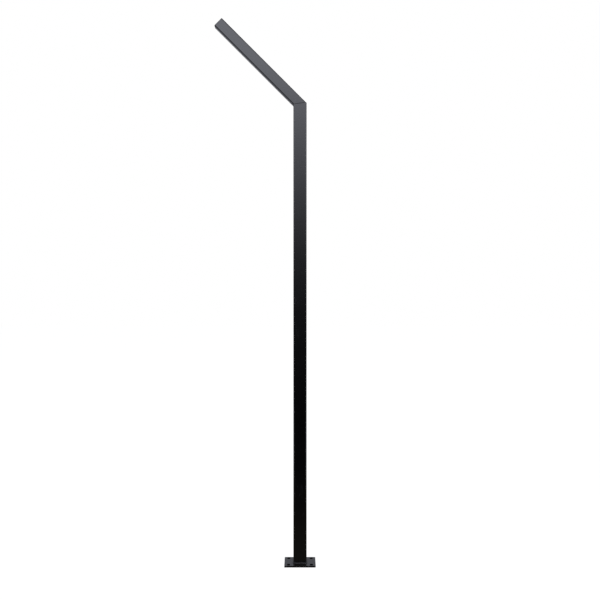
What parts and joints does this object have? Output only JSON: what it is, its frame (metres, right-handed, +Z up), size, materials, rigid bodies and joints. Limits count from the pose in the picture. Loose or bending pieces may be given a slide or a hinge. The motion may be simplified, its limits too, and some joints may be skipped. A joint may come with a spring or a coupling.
{
  "type": "street lamp post",
  "caption": "Square steel lamp post on a drilled base plate, with a mitred arm leaning at 45 degrees, a rear service door over a fused cut-out and an earth stud, and no lamp head.",
  "frame": {"origin": "centre of the base plate's underside, which is the middle of the cable entry and of the four anchor slots", "axes": "+Z up the post, -X the way the arm leans, -Y the plain front, +Y the rear with the service door"},
  "size_m": [0.7657, 0.235, 4.1316],
  "materials": {
    "powder_coat": "satin black powder coat",
    "galvanised": "hot-dip galvanised, dull",
    "stainless": "bright stainless",
    "brass": "machined brass",
    "black_rubber": "matt",
    "gasket_foam": "closed-cell foam",
    "black_plastic": "moulded, fine matt texture",
    "board_laminate": "pressed phenolic laminate",
    "cutout_plastic": "moulded phenolic, satin",
    "carrier_plastic": "moulded light grey, satin",
    "fuse_ceramic": "glazed ceramic",
    "gland_plastic": "moulded grey nylon"
  },
  "bodies": {
    "post": {"base_plate": "powder_coat", "base_weld": "powder_coat", "post_tube": "powder_coat", "post_weld": "powder_coat", "joint_plate": "powder_coat", "arm_tube": "powder_coat", "arm_welds": "powder_coat", "joint_grommet": "black_rubber", "hatch_frame": "powder_coat", "earth_stud": "stainless", "earth_nuts": "brass", "earth_washer_inner": "brass", "earth_washer_outer": "brass", "board_standoffs": "galvanised", "equipment_board": "board_laminate", "board_screws": "stainless", "cutout_base": "cutout_plastic", "terminal_screws": "brass", "cutout_screws": "stainless", "supply_gland": "gland_plastic", "lamp_gland": "gland_plastic"},
    "service_door": {"door_panel": "powder_coat", "door_gasket": "gasket_foam", "door_screw_retainers": "gland_plastic"},
    "upper_screw": {"door_screw_upper": "stainless"},
    "lower_screw": {"door_screw_lower": "stainless"},
    "carrier": {"fuse_carrier": "carrier_plastic", "fuse_link": "fuse_ceramic"},
    "end_plug": {"arm_end_plug": "black_plastic"}
  },
  "joints": [
    {"name": "door_lift_off", "type": "slide", "parent": "post", "child": "service_door", "axis": [0, 1, 0], "range_m": [0, 0.12]},
    {"name": "upper_screw_out", "type": "slide", "parent": "service_door", "child": "upper_screw", "axis": [0, 1, 0], "range_m": [0, 0.0065]},
    {"name": "lower_screw_out", "type": "slide", "parent": "service_door", "child": "lower_screw", "axis": [0, 1, 0], "range_m": [0, 0.0065]},
    {"name": "carrier_pull", "type": "slide", "parent": "post", "child": "carrier", "axis": [0, 1, 0], "range_m": [0, 0.025]},
    {"name": "end_plug_pull", "type": "slide", "parent": "post", "child": "end_plug", "axis": [-0.7071, 0, 0.7071], "range_m": [0, 0.06]}
  ]
}
